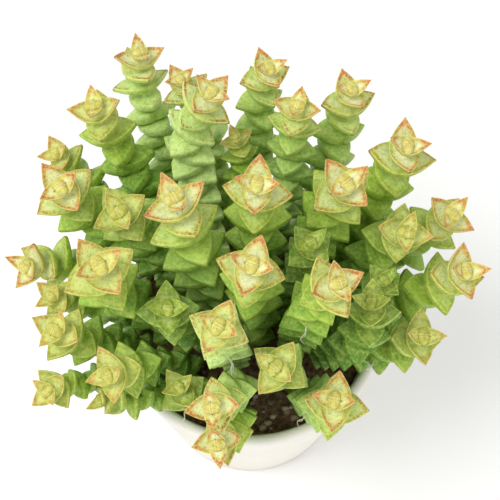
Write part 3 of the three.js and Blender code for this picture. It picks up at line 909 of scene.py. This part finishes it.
def room_for(i):
    """The share of its full span that a pair may have at a distance along a stem."""
    turns = [math.radians(stem.turn) for stem in STEMS]

    def room(distance):
        place, across, beside, way = lines[i].frame(distance)
        most = math.inf
        for j, line in enumerate(lines):
            if j == i:
                continue
            nearest = line.points[np.linalg.norm(line.points - place, axis=1).argmin()]
            to = nearest - place
            shares = []
            for corner in (turns[i], turns[i] + math.pi / 2, turns[j], turns[j] + math.pi / 2):
                parting = corner + math.pi / 4
                apart = to @ across * math.cos(parting) + to @ beside * math.sin(parting)
                needed = STEMS[i].span * square_reach(parting - turns[i])
                needed += STEMS[j].span * square_reach(parting - turns[j])
                shares.append(2 * math.hypot(apart, to @ way) / needed)
            most = min(most, ROOM_USED * max(shares))
        return most

    return room


leaf = leaf_material()
for i, stem in enumerate(STEMS):
    number = i + 1
    spacing = SPACING.get(number, 1)
    pairs = leaf_pairs(stem, spacing, lines[i], room_for(i), draws(FIRST_SEED + SEED_STEP * i))
    mesh = stem_mesh(f"leafy_stem_{number:02d}", lines[i], pairs, THREADS.get(number, ()))
    for trait, value in (("sun", stem.sun), ("bloom", BLOOM.get(number, PLAIN_BLOOM))):
        attribute = mesh.attributes.new(trait, "FLOAT", "POINT")
        attribute.data.foreach_set("value", np.full(len(mesh.vertices), value, np.float32))
    mesh.materials.append(leaf)
    piece = add_object(mesh.name, mesh)
    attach(piece, "root")
    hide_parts(f"stem_{number:02d}")


# Pot: a fine turned bowl with drain holes
def pot_outside(z):
    share = (z - FOOT_CHAMFER) / (POT_HEIGHT - POT_LIP - FOOT_CHAMFER)
    return POT_FOOT_RADIUS + (POT_RIM_RADIUS - POT_FOOT_RADIUS) * share


def pot_inside(z):
    return pot_outside(z) - POT_WALL


def turned_mesh(name, profile, sides):
    """A closed solid turned from a profile that starts and ends on the axis."""
    angle = 2 * math.pi * np.arange(sides) / sides
    points = [(0, 0, profile[0][1])]
    for radius, z in profile[1:-1]:
        points.extend(zip(radius * np.cos(angle), radius * np.sin(angle), [z] * sides))
    points.append((0, 0, profile[-1][1]))
    faces = []
    rows = len(profile) - 2
    for i in range(sides):
        j = (i + 1) % sides
        faces.append((0, 1 + j, 1 + i))
        for row in range(rows - 1):
            a = 1 + row * sides
            faces.append((a + i, a + j, a + sides + j, a + sides + i))
        last = 1 + (rows - 1) * sides
        faces.append((last + i, last + j, len(points) - 1))
    mesh = bpy.data.meshes.new(name)
    mesh.from_pydata([[c * MM for c in p] for p in points], [], faces)
    return mesh


def pot_profile():
    """Once round the pot's section: foot, outer wall, rounded lip, inner wall and floor."""
    top = POT_HEIGHT - POT_LIP
    foot = POT_FOOT_RADIUS - FOOT_CHAMFER
    lip = POT_RIM_RADIUS - POT_LIP
    profile = [(0, 0), (foot, 0)]
    for turn in np.linspace(0, math.pi / 2, FOOT_STEPS + 1)[1:]:
        profile.append((foot + FOOT_CHAMFER * math.sin(turn), FOOT_CHAMFER * (1 - math.cos(turn))))
    for z in np.linspace(FOOT_CHAMFER, top, WALL_STEPS + 1)[1:-1]:
        profile.append((pot_outside(z), z))
    for turn in np.linspace(0, math.pi, LIP_STEPS + 1):
        profile.append((lip + POT_LIP * math.cos(turn), top + POT_LIP * math.sin(turn)))
    for z in np.linspace(top, POT_FLOOR, INSIDE_STEPS + 1)[1:]:
        profile.append((pot_inside(z), z))
    profile.append((0, POT_FLOOR))
    return profile


def cut_drains(pot):
    """Bores the drain holes through the pot's floor."""
    for i in range(DRAIN_COUNT):
        turn = 2 * math.pi * (i + DRAIN_TURN) / DRAIN_COUNT
        ends = (-DRAIN_PAST, POT_FLOOR + DRAIN_PAST)
        profile = [(0, ends[0]), (DRAIN_RADIUS, ends[0]), (DRAIN_RADIUS, ends[1]), (0, ends[1])]
        post = turned_mesh(f"drain_{i}", profile, DRAIN_SIDES)
        cutter = add_object(post.name, post)
        cutter.location = (DRAIN_CIRCLE * MM * math.cos(turn), DRAIN_CIRCLE * MM * math.sin(turn), 0)
        cut = pot.modifiers.new("drain", "BOOLEAN")
        cut.operation = "DIFFERENCE"
        cut.solver = "EXACT"
        cut.object = cutter
        bpy.context.view_layer.objects.active = pot
        bpy.ops.object.modifier_apply(modifier=cut.name)
        bpy.data.objects.remove(cutter)


pot = add_object("clay_pot", turned_mesh("clay_pot", pot_profile(), POT_SIDES))
cut_drains(pot)
pot.data.materials.append(pot_material())
pot.data.polygons.foreach_set("use_smooth", [True] * len(pot.data.polygons))
pot.data.set_sharp_from_angle(angle=math.radians(SHARP_ANGLE))
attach(pot, "root")
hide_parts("pot")


# Soil: an uneven crumbly surface in the pot, with loose stones on it. It closes round the stems' feet.
SOIL_RADIUS = pot_inside(SOIL_TOP) - GAP


def soil_height(x, y):
    """Crossing waves, long and short, that fade towards the pot's wall."""
    out = np.sqrt(x * x + y * y) / SOIL_RADIUS
    swell = np.sin(0.31 * x + 1) * np.cos(0.27 * y) + 0.6 * np.sin(0.83 * x + 0.6 * y)
    crumbs = np.sin(2.1 * x + 0.7 * y) * np.cos(1.7 * y - 0.9 * x) + 0.6 * np.sin(3.7 * y + 1.1 * x)
    relief = SOIL_SWELL * swell + SOIL_CRUMBS * crumbs
    return SOIL_TOP + SOIL_CROWN * (1 - out**2) + relief * np.minimum(1, SOIL_LEVELLING * (1 - out))


def soil_mesh():
    bottom = POT_FLOOR + GAP
    profile = [(0, bottom), (pot_inside(bottom) - GAP, bottom)]
    profile += [(SOIL_RADIUS * (1 - i / SOIL_RINGS), SOIL_TOP) for i in range(SOIL_RINGS)]
    profile.append((0, SOIL_TOP))
    mesh = turned_mesh("soil_mix", profile, POT_SIDES)
    place = np.empty(3 * len(mesh.vertices), np.float32)
    mesh.vertices.foreach_get("co", place)
    place = place.reshape(-1, 3) / MM
    top = place[:, 2] > SOIL_TOP - GAP
    place[top, 2] = soil_height(place[top, 0], place[top, 1])
    mesh.vertices.foreach_set("co", (place * MM).ravel())
    mesh.polygons.foreach_set("use_smooth", [True] * len(mesh.polygons))
    return mesh


def add_stones(mesh):
    """Loose stones on the soil, each a dented ball with its own tint, kept off the stems' feet."""
    draw = draws(STONE_SEED)
    shape = bmesh.new()
    shape.from_mesh(mesh)
    tints = shape.verts.layers.float.new("tint")
    feet = np.array([line.points[0][:2] for line in lines])
    edge = SOIL_RADIUS - STONE_SIZES[1]
    for _ in range(STONE_COUNT):
        out, turn = edge * math.sqrt(next(draw)), 2 * math.pi * next(draw)
        size = between(STONE_SIZES, next(draw) ** 2)
        tint, phase = next(draw), 2 * math.pi * next(draw)
        x, y = out * math.cos(turn), out * math.sin(turn)
        if np.linalg.norm(feet - (x, y), axis=1).min() < WOOD_RADIUS + size:
            continue
        made = bmesh.ops.create_icosphere(shape, subdivisions=2, radius=size * MM)["verts"]
        z = soil_height(x, y) + STONE_SHOWN * size
        for vert in made:
            way = vert.co.normalized()
            dent = 1 + STONE_DENT * math.sin(3 * way.x + phase) * math.cos(4 * way.y - 2 * way.z + phase)
            vert.co = Vector((x, y, z)) * MM + Vector(STONE_FORM) * dent * vert.co
            vert[tints] = tint
        for face in {face for vert in made for face in vert.link_faces}:
            face.material_index = STONE_MATERIAL
            face.smooth = True
    shape.to_mesh(mesh)
    shape.free()


soil = add_object("soil_mix", soil_mesh())
add_stones(soil.data)
soil.data.materials.append(soil_material())
soil.data.materials.append(stone_material())
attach(soil, "root")
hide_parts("soil")

# Floor, light and background
floor_mesh = bpy.data.meshes.new("studio_floor")
half = FLOOR_HALF_METRES
corners = [(-half, -half, 0), (half, -half, 0), (half, half, 0), (-half, half, 0)]
floor_mesh.from_pydata(corners, [], [(0, 1, 2, 3)])
floor_mesh.materials.append(floor_material())
floor = add_object("studio_floor", floor_mesh)
floor.location.z = -FLOOR_DROP * MM


def add_light(name, place, size, power):
    light = bpy.data.lights.new(name, "AREA")
    light.size = size
    light.energy = power
    lamp = add_object(name, light)
    lamp.location = place
    lamp.rotation_euler = (TARGET - lamp.location).to_track_quat("-Z", "Y").to_euler()


for lamp_name, (lamp_place, lamp_size, lamp_power) in LAMPS.items():
    add_light(lamp_name, lamp_place, lamp_size, lamp_power)

world = bpy.data.worlds.new("studio")
world.use_nodes = True
sky = world.node_tree.nodes["Background"]
sky.inputs["Color"].default_value = (1, 1, 1, 1)
sky.inputs["Strength"].default_value = SKY_STRENGTH
bpy.context.scene.world = world
bpy.context.scene.view_settings.view_transform = "Standard"
